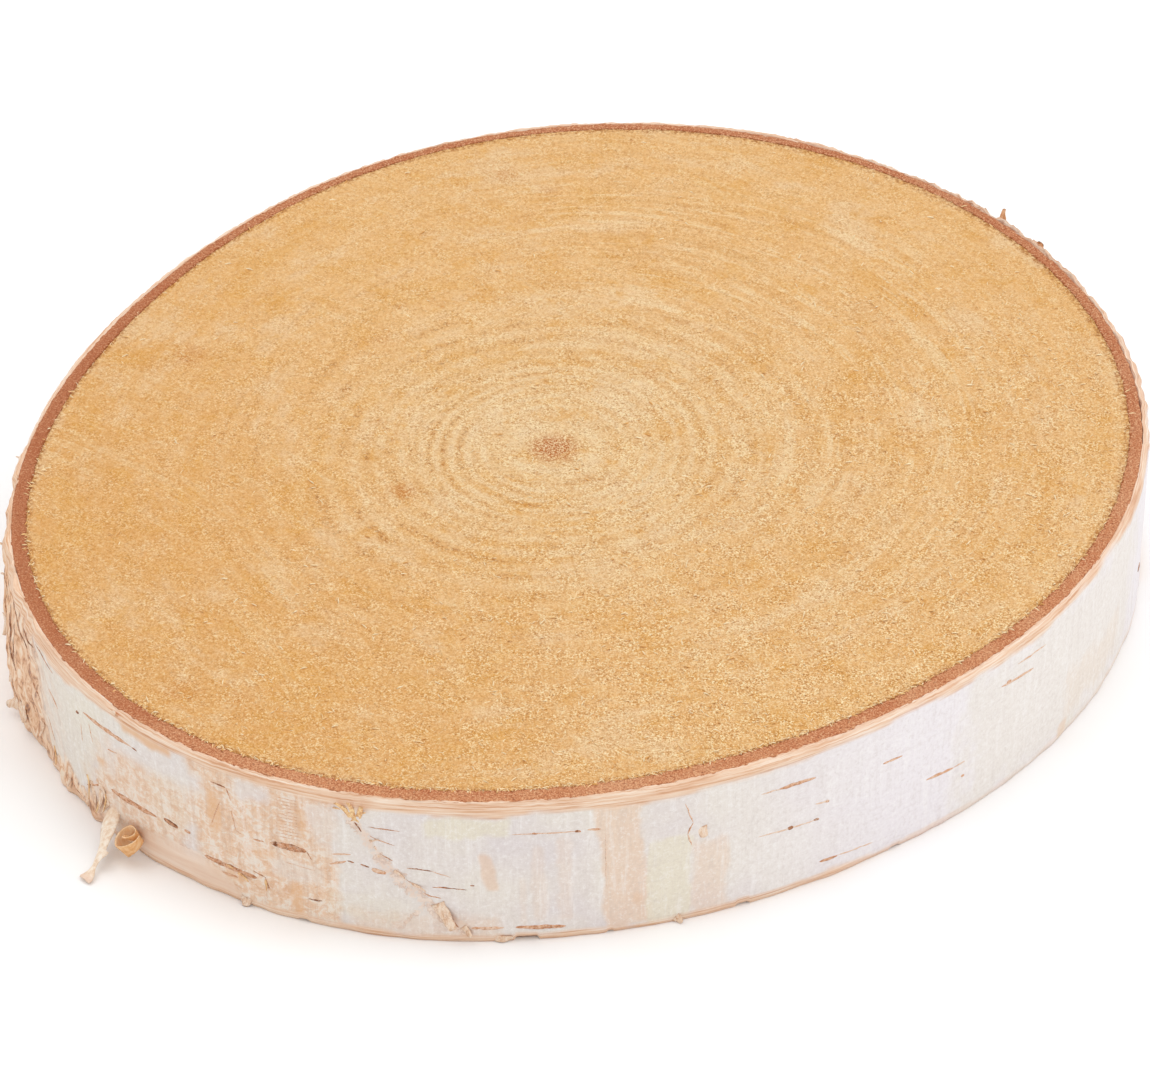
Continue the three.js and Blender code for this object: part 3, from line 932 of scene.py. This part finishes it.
def marks():
    """Every lenticel and crack, as a row of numbers each: those of the front listed one by one,
    the ladder's rungs by a loop, and the rest scattered."""
    chance = np.random.default_rng(11)
    rows = list(LENTICELS + CRACKS)
    for k in range(LADDER_RUNGS):
        height = 18 + 0.72 * k
        rows.append((241.7 + 0.03 * k, height, 244.3, height + 0.15, 0.13, 0.3))
    angle = np.linspace(-3, 178, HIDDEN_LENTICELS) + chance.uniform(-3, 3, HIDDEN_LENTICELS)
    height = chance.uniform(3, 27, HIDDEN_LENTICELS)
    width = chance.uniform(1.5, 8, HIDDEN_LENTICELS)
    slope = chance.uniform(-0.5, 0.5, HIDDEN_LENTICELS)
    hidden = np.stack([angle, height, angle + width, height + slope,
                       chance.uniform(0.4, 0.9, HIDDEN_LENTICELS),
                       chance.uniform(0.3, 0.9, HIDDEN_LENTICELS)], axis=-1)
    return np.concatenate([np.array(rows), hidden])


def bark_marks():
    """Each mark is a lens drawn along a slightly wavering line: its half-width swells from
    nothing to the middle and back, and its cross-section is a low ellipse."""
    start, low, end, high, thick, tone = marks().T[:, :, None, None]
    share = (np.arange(1, MARK_STATIONS + 1) / (MARK_STATIONS + 1))[None, :, None]
    turn = (np.arange(MARK_AROUND) * 2 * np.pi / MARK_AROUND)[None, None, :]
    run, rise = (end - start) * MM_PER_DEGREE, high - low
    size = np.hypot(run, rise)
    place = np.concatenate([share * size, start + 0 * share, low + 0 * share], axis=2)
    waver = 0.12 * lumps(place, (1.3, 1, 1), 61) + 0.05 * lumps(place, (0.4, 1, 1), 62)
    ragged = 1 + 0.4 * lumps(place, (0.7, 1, 1), 63)
    swell = np.sin(np.pi * share) ** 0.4 * ragged[..., None]
    across = thick / 2 * swell * np.cos(turn) + waver[..., None] * np.sin(np.pi * share)
    proud = (0.05 + 0.10 * thick) * swell * np.sin(turn)
    degrees = start + (share * run - across * rise / size) / MM_PER_DEGREE
    height = low + share * rise + across * run / size
    angle = np.radians(degrees)
    rings = trunk_point(angle, height, -bark_relief(np.mod(angle, 2 * np.pi), height) - proud)
    ends = []
    for angle, height in ((start, low), (end, high)):
        angle, height = np.radians(angle[:, 0, 0]), height[:, 0, 0]
        ends.append(trunk_point(angle, height, -bark_relief(np.mod(angle, 2 * np.pi), height)))
    points, faces = tubes(rings, np.stack(ends, axis=1))
    tones = np.repeat(tone[:, 0, 0], MARK_STATIONS * MARK_AROUND + 2)
    border = np.broadcast_to(np.cos(turn), rings.shape[:3]).reshape(len(rings), -1)
    border = np.concatenate([border, np.ones((len(rings), 2))], axis=1)
    return build("lenticels", points, faces, {"tone": tones, "border": border})


def mark_finish():
    finish = Finish("corky_lenticel", 0.8, 0.15)
    place = finish.place()
    cork = finish.noise(finish.place(0.6, 0.6, 1.4), 1.6, 4, 0.75)
    tone = finish.math("ADD", finish.field("tone"), finish.rise(cork, 0.36, 0.64, -0.2, 0.2))
    finish.colour = finish.ramp(tone, (0.05, 230, 208, 190), (0.35, 222, 180, 150),
                                (0.65, 202, 144, 106), (1.0, 128, 80, 54))
    dotted = finish.rise(finish.noise(place, 1.8, 3, 0.7), 0.42, 0.56)
    # a dotted dark line along each mark's lower edge: the cork's own dark rim, with painted shade
    # under the raised lens
    border = finish.rise(finish.field("border"), -1.0, -0.3, 0.6, 0)
    finish.over(finish.times(border, dotted), (128, 82, 58))
    crumbs = finish.rise(finish.spots(place, 1.6), 0.1, 0.3, 0.5, 0)
    finish.over(finish.times(crumbs, dotted), (120, 74, 52))
    finish.over(finish.rise(dotted, 0.1, 0.3, 0.35, 0), (236, 216, 196))
    return finish.done(finish.bump(cork, 0.1))


belongs(bark_marks(), mark_finish())

# ======================================================================================
# The loose flakes: thin tongues of bark that the saw and handling raised along the rim,
# the foot and the flank, each still fast at its root.
# ======================================================================================

# Each flake or golden splinter has a root, as an angle and a height; a width and a length;
# a heading, in degrees from straight up towards larger angles; how far its end stands off;
# and a taper.
FLAKES = (
    (256.4, 8.4, 2.4, 5.4, 150, 0.8, 0.35), (258.6, 3.4, 1.5, 2.2, 140, 0.7, 0.5),
    (42.5, 29.0, 1.6, 2.0, 15, 0.9, 0.5), (36.5, 29.2, 3.0, 0.9, -10, 0.4, 0.5),
    (180.8, 27.0, 1.2, 1.3, -80, 1.3, 0.8), (190.6, 20.0, 1.8, 2.0, -60, 1.5, 0.7),
    (191.4, 15.0, 1.6, 1.8, -70, 1.3, 0.8), (195.5, 13.5, 3.0, 3.6, 160, 0.7, 0.5),
    (199.6, 9.0, 3.4, 3.4, 150, 0.6, 0.4), (202.4, 3.6, 2.6, 2.6, -120, 1.5, 0.5),
    (204.5, 6.8, 3.0, 3.6, 165, 0.5, 0.5),
    (208.4, 7.4, 1.4, 4.0, 196, 0.3, 0.9), (212.4, 5.4, 3.0, 3.6, 150, 0.5, 0.5),
    (215.2, 6.6, 1.4, 4.6, 190, 0.3, 0.9), (217.4, 5.2, 1.8, 3.6, 150, 0.5, 0.8),
    (219.2, 8.6, 1.0, 5.4, 166, 0.4, 0.95), (220.8, 8.4, 1.1, 5.0, 188, 0.5, 0.95),
    (221.8, 7.4, 1.0, 3.6, 204, 0.6, 0.95), (220.2, 10.2, 1.2, 3.0, 120, 0.4, 0.8),
    (251.4, 17.4, 0.6, 2.4, -20, 0.4, 0.9), (252.6, 14.8, 0.6, 2.4, 120, 0.4, 0.9),
    (254.2, 12.4, 0.5, 2.6, 110, 0.4, 0.9), (250.6, 20.6, 0.5, 2.0, 60, 0.4, 0.9),
    (224.3, 29.0, 1.2, 1.4, 60, 0.7, 0.5), (238.0, 1.8, 2.0, 1.6, 185, 0.6, 0.3),
    (262.0, 1.4, 4.0, 1.2, 178, 0.3, 0.3), (279.0, 1.2, 1.6, 1.2, 130, 0.9, 0.5),
    (281.8, 20.0, 1.8, 2.0, 165, 0.4, 0.4),
    (64, 12.0, 5.0, 4.0, 80, 1.6, 0.4), (118, 15.0, 4.0, 5.0, 100, 1.8, 0.5),
    (20, 6.0, 5.0, 3.0, 90, 1.2, 0.4))
SPLINTERS = (
    (249.2, 24.6, 0.9, 5.2, -26, 2.2, 0.45), (249.5, 24.6, 1.0, 5.4, 20, 2.2, 0.45),
    (249.3, 24.8, 0.9, 4.8, -4, 1.8, 0.5), (249.1, 26.4, 0.6, 3.0, -75, 0.8, 0.9),
    (249.6, 25.9, 0.5, 2.6, 48, 0.8, 0.9), (218.6, 9.2, 0.5, 4.6, 170, 0.6, 0.9),
    (220.4, 7.2, 0.5, 4.0, 186, 0.8, 0.9), (211.4, 6.2, 0.5, 3.4, 160, 0.5, 0.9),
    (221.4, 8.6, 0.4, 3.4, 176, 0.8, 0.9), (236.0, 7.4, 0.6, 2.0, 80, 0.4, 0.7),
    (237.4, 6.8, 0.7, 2.4, 110, 0.4, 0.7), (240.2, 7.2, 0.5, 2.0, 170, 0.4, 0.8))
FLAKE_ROWS = 10
FLAKE_COLUMNS = 7
FLAKE_THICKNESS = 0.14


def thin_sheet(middle, thickness):
    """The rings of a closed thin sheet round a grid of middle points: along the upper face
    and back along the lower one. The faces stand off by half the thickness, along the cross
    product of the grid's two directions."""
    along, across = np.gradient(middle, axis=(0, 1))
    normal = np.cross(along, across)
    normal /= np.linalg.norm(normal, axis=-1, keepdims=True)
    upper = middle + normal * thickness / 2
    lower = middle - normal * thickness / 2
    return np.concatenate([upper, lower[:, ::-1]], axis=1)


def flake(angle, height, width, length, heading, stand, taper):
    """A tongue: its line leaves the bark by a distance that grows as the square of the way
    along it, and its half-width shrinks by the taper, with ragged sides."""
    angle, heading = math.radians(angle), math.radians(heading)
    face = float(bark_relief(np.array(angle % (2 * np.pi)), np.array(float(height))))
    root = trunk_point(angle, height, 0.12 - face)
    out, round_trunk = level_directions(angle)
    forward = math.cos(heading) * np.array([0, 0, 1]) + math.sin(heading) * round_trunk
    sideways = np.cross(forward, out)
    way = np.linspace(0, 1, FLAKE_ROWS)[:, None]
    side = np.linspace(-1, 1, FLAKE_COLUMNS)[None, :]
    place = np.stack(np.broadcast_arrays(way * 3, side, height + angle * 9), axis=-1)
    ragged = 1 + 0.35 * lumps(place, (0.5, 2, 1), 71)
    half = width / 2 * (1 - taper * way ** 1.4) * ragged
    off = (0.1 + stand * way ** 2 - 0.16 * width * side ** 2 * way
           + 0.12 * lumps(place, (0.9, 0.7, 1), 72))
    middle = (root + (way * length)[..., None] * forward
              + (half * side)[..., None] * sideways + off[..., None] * out)
    middle[..., 2] = np.maximum(middle[..., 2], FLAKE_THICKNESS)
    return thin_sheet(middle, FLAKE_THICKNESS)


def bark_flakes():
    rings = np.stack([flake(*row) for row in FLAKES + SPLINTERS])
    points, faces = tubes(rings)
    under = np.repeat([1.0, 0.0], FLAKE_COLUMNS)
    under = np.concatenate([np.tile(under, FLAKE_ROWS), [0.5, 0.5]])
    golden = np.repeat([0.0, 1.0], [len(FLAKES), len(SPLINTERS)])
    return build("bark_flakes", points, faces, {"under": np.tile(under, len(rings)),
                                                "golden": np.repeat(golden, len(under))})


def flake_finish():
    finish = Finish("loose_bark", 0.7, 0.25)
    place = finish.place()
    ribs = finish.noise(finish.place(1, 1, 0.4), 1.6, 4, 0.7)
    finish.colour = finish.ramp(ribs, (0.36, 214, 174, 142), (0.5, 232, 204, 178),
                                (0.64, 240, 222, 204))
    inside = finish.ramp(ribs, (0.4, 206, 148, 104), (0.6, 230, 186, 146))
    finish.over(finish.field("under"), inside)
    finish.over(finish.times(finish.field("golden"), 0.75),
                finish.ramp(ribs, (0.4, 206, 142, 82), (0.6, 246, 208, 142)))
    specks = finish.noise(place, 2.0, 3, 0.8)
    finish.over(finish.rise(specks, 0.34, 0.46, 0.5, 0), (180, 122, 84))
    return finish.done(finish.bump(ribs, 0.08))


loose_bark = flake_finish()
belongs(bark_flakes(), loose_bark)

# ======================================================================================
# The rolled flap: where the peeled strip of skin tore away at the front left, its end has
# rolled up on itself like a paper scroll, orange-tan outside and paler within, lightened further
# as a painted glow.
# ======================================================================================

ROLL_ANGLE = 225.7            # in degrees, and the rest in mm
ROLL_REACH = 1.9
ROLL_OUTER = 2.3
ROLL_INNER = 0.6
ROLL_TURNS = 1.6
ROLL_LEAN = 1.8               # outwards, from its foot to its top
ROLL_START = -20              # the turn where the spiral starts, in degrees
ROLL_FRONT = 110              # the turn that faces outwards, where both edges dip
ROLL_FOOT = 3.9               # height of its foot, and of its top, at the back
ROLL_TOP = 6.4
ROLL_ROWS = 64
ROLL_COLUMNS = 12
PAPER = 0.16


def rolled_flap():
    """A spiral wall: its distance from the roll's axis shrinks with the turn, and by a
    third towards its foot. Both edges dip at the front, the lower one to a point, and the
    roll leans out towards its top."""
    angle = math.radians(ROLL_ANGLE)
    out, round_trunk = level_directions(angle)
    way = np.linspace(0, 1, ROLL_ROWS)[:, None]
    up = np.linspace(0, 1, ROLL_COLUMNS)[None, :]
    turn = math.radians(ROLL_START) + way * ROLL_TURNS * 2 * np.pi
    reach = ROLL_OUTER + (ROLL_INNER - ROLL_OUTER) * way ** 1.2
    away = np.abs(turn - math.radians(ROLL_FRONT))
    front = np.clip(1 - away / math.radians(130), 0, 1)
    bottom = ROLL_FOOT - 3.6 * front
    top = ROLL_TOP - 2.4 * front - 1.2 * ramp_up(way, 0.6, 1)
    height = bottom + (top - bottom) * up
    reach = reach * (0.68 + 0.36 * up)
    middle = (trunk_point(angle, 3.0, -ROLL_REACH) * np.array([1, 1, 0])
              + (reach * np.cos(turn))[..., None] * round_trunk
              + (reach * np.sin(turn) + ROLL_LEAN * (up - 0.5))[..., None] * out)
    middle[..., 2] = height
    middle += 0.07 * lumps(middle, 0.9, 81)[..., None] * out
    rings = thin_sheet(middle, PAPER)[None]
    points, faces = tubes(rings)
    outer = np.tile(np.repeat([0.0, 1.0], ROLL_COLUMNS), ROLL_ROWS)
    return build("rolled_flap", points, faces, {"outer": np.concatenate([outer, [0.5, 0.5]])})


def flap_finish():
    finish = Finish("rolled_bark_paper", 0.6, 0.3)
    grain = finish.noise(finish.place(1, 1, 0.3), 1.4, 4, 0.65)
    outside = finish.ramp(grain, (0.36, 226, 166, 104), (0.5, 240, 188, 130),
                          (0.64, 246, 206, 158))
    # inner face: pale bark colour, raised further as a painted glow of light shining through the
    # thin sheet into the roll
    finish.colour = finish.ramp(grain, (0.4, 244, 204, 158), (0.6, 252, 226, 192))
    finish.over(finish.field("outer"), outside)
    return finish.done(finish.bump(grain, 0.06))


belongs(rolled_flap(), flap_finish())

# ======================================================================================
# The hanging strip: a ribbon of white skin still fast at its root above the roll. It
# droops away from the foot, twists once, narrows to a thread and ends in a flared tip.
# ======================================================================================

# Stops along the strip: an angle in degrees, how far it stands off the bark, its height
# and its half-width in mm, and its twist in degrees.
STRIP_STOPS = np.array([
    (222.6, -0.2, 6.8, 0.9, 0), (222.6, 0.7, 6.1, 1.4, 5), (222.9, 2.1, 5.2, 1.7, 10),
    (223.4, 3.8, 4.3, 1.75, 22), (223.9, 5.5, 3.4, 1.6, 34), (224.4, 7.2, 2.5, 1.1, 30),
    (224.8, 8.9, 1.8, 0.5, 20), (225.0, 10.2, 1.3, 0.75, 5), (225.1, 11.2, 1.0, 1.2, 0),
    (225.1, 12.0, 0.8, 1.15, -5)])
STRIP_ROWS = 70
STRIP_COLUMNS = 9


def through(stops, count):
    """A smooth curve through rows of stops: between two stops it blends the four nearest
    with cubic weights, so that it leaves each stop in the direction of its neighbours."""
    padded = np.concatenate([[2 * stops[0] - stops[1]], stops, [2 * stops[-1] - stops[-2]]])
    way = np.linspace(0, len(stops) - 1, count)
    first = np.minimum(way.astype(int), len(stops) - 2)
    t = (way - first)[:, None]
    a, b, c, d = (padded[first + k] for k in range(4))
    return 0.5 * (2 * b + (c - a) * t + (2 * a - 5 * b + 4 * c - d) * t ** 2
                  + (3 * b - a - 3 * c + d) * t ** 3)


def hanging_strip():
    """A ribbon carried along the curve: its width lies round the trunk, turned about the
    curve by the twist, and a small torn tab stands out on one side half way down."""
    degrees, reach, height, half, twist = through(STRIP_STOPS, STRIP_ROWS).T
    angle = np.radians(degrees)
    path = trunk_point(angle, height, -reach)
    forward = np.gradient(path, axis=0)
    forward /= np.linalg.norm(forward, axis=1, keepdims=True)
    round_trunk = level_directions(angle)[1]
    level = round_trunk - (round_trunk * forward).sum(axis=1, keepdims=True) * forward
    level /= np.linalg.norm(level, axis=1, keepdims=True)
    upright = np.cross(forward, level)
    turned = np.radians(twist)[:, None]
    sideways = np.cos(turned) * level + np.sin(turned) * upright
    across = np.linspace(-1, 1, STRIP_COLUMNS)[None, :]
    way = np.linspace(0, 1, STRIP_ROWS)[:, None]
    tab = 1.3 * hump(way, 0.56, 0.03) * np.maximum(across, 0) ** 2
    place = np.stack(np.broadcast_arrays(way * 12, across, 0), axis=-1)
    ragged = 0.10 * lumps(place, (0.8, 2, 1), 91)
    middle = (path[:, None, :]
              + (half[:, None] * across * (1 + ragged) + tab)[..., None] * sideways[:, None, :])
    curl = 0.3 * across ** 2 * half[:, None]
    middle += curl[..., None] * np.cross(sideways, forward)[:, None, :]
    middle[..., 2] = np.maximum(middle[..., 2], PAPER)
    rings = thin_sheet(middle, PAPER)[None]
    points, faces = tubes(rings)
    far = np.repeat(np.linspace(0, 1, STRIP_ROWS), 2 * STRIP_COLUMNS)
    return build("hanging_strip", points, faces, {"far": np.concatenate([far, [0, 1]])})


def strip_finish():
    finish = Finish("peeled_bark_skin", 0.65, 0.25)
    grain = finish.noise(finish.place(1, 1, 0.5), 1.2, 4, 0.65)
    finish.colour = finish.ramp(grain, (0.36, 228, 200, 172), (0.5, 240, 220, 198),
                                (0.64, 246, 236, 222))
    far = finish.field("far")
    finish.over(finish.rise(far, 0.8, 0.95, 0, 0.7), (232, 202, 182))
    finish.over(finish.rise(far, 0.05, 0.3, 0.4, 0), (226, 186, 148))
    return finish.done(finish.bump(grain, 0.06))


belongs(hanging_strip(), strip_finish())

# ======================================================================================
# The stage: a pale floor that runs out of sight, soft studio light from all round with a
# large lamp over the front right, and the camera looking down on the slice from the front.
# ======================================================================================

FLOOR_REACH = 4.0
CAMERA_RISE = math.radians(36.5)
CAMERA_AWAY = 1.203
CAMERA_LENS = 219             # in mm, with a sensor 36 mm wide
CAMERA_SENSOR = 36
CAMERA_AIM = Vector((-0.0012, -0.0272, THICKNESS))


def floor():
    corners = np.array([(-1, -1, 0), (1, -1, 0), (1, 1, 0), (-1, 1, 0)]) * FLOOR_REACH
    mesh = bpy.data.meshes.new("floor")
    mesh.from_pydata(corners.tolist(), [], [(0, 1, 2, 3)])
    ground = bpy.data.objects.new("floor", mesh)
    bpy.context.scene.collection.objects.link(ground)
    finish = bpy.data.materials.new("pale_floor")
    finish.use_nodes = True
    shader = finish.node_tree.nodes["Principled BSDF"]
    shader.inputs["Base Color"].default_value = (0.97, 0.97, 0.97, 1)
    shader.inputs["Roughness"].default_value = 0.9
    shader.inputs["Specular IOR Level"].default_value = 0.1
    mesh.materials.append(finish)


def lamp(name, place, size, power):
    light = bpy.data.lights.new(name, "AREA")
    light.shape = "DISK"
    light.size = size
    light.energy = power
    holder = bpy.data.objects.new(name, light)
    bpy.context.scene.collection.objects.link(holder)
    holder.location = place
    holder.rotation_euler = (-Vector(place)).to_track_quat("-Z", "Y").to_euler()


def soft_surroundings():
    world = bpy.data.worlds.new("studio")
    world.use_nodes = True
    shell = world.node_tree.nodes["Background"]
    shell.inputs["Color"].default_value = (1, 1, 1, 1)
    shell.inputs["Strength"].default_value = 0.80
    bpy.context.scene.world = world


def camera():
    lens = bpy.data.cameras.new("camera")
    lens.sensor_width = CAMERA_SENSOR
    lens.lens = CAMERA_LENS
    lens.clip_end = 20
    holder = bpy.data.objects.new("camera", lens)
    bpy.context.scene.collection.objects.link(holder)
    back = Vector((0, -math.cos(CAMERA_RISE), math.sin(CAMERA_RISE)))
    holder.location = CAMERA_AIM + CAMERA_AWAY * back
    holder.rotation_euler = (-back).to_track_quat("-Z", "Y").to_euler()
    bpy.context.scene.camera = holder


floor()
soft_surroundings()
lamp("key", (0.8, -0.25, 1.2), 1.2, 5.6)
lamp("fill", (-0.4, 0.1, 1.4), 1.2, 5.5)
camera()
bpy.context.scene.view_settings.view_transform = "Standard"
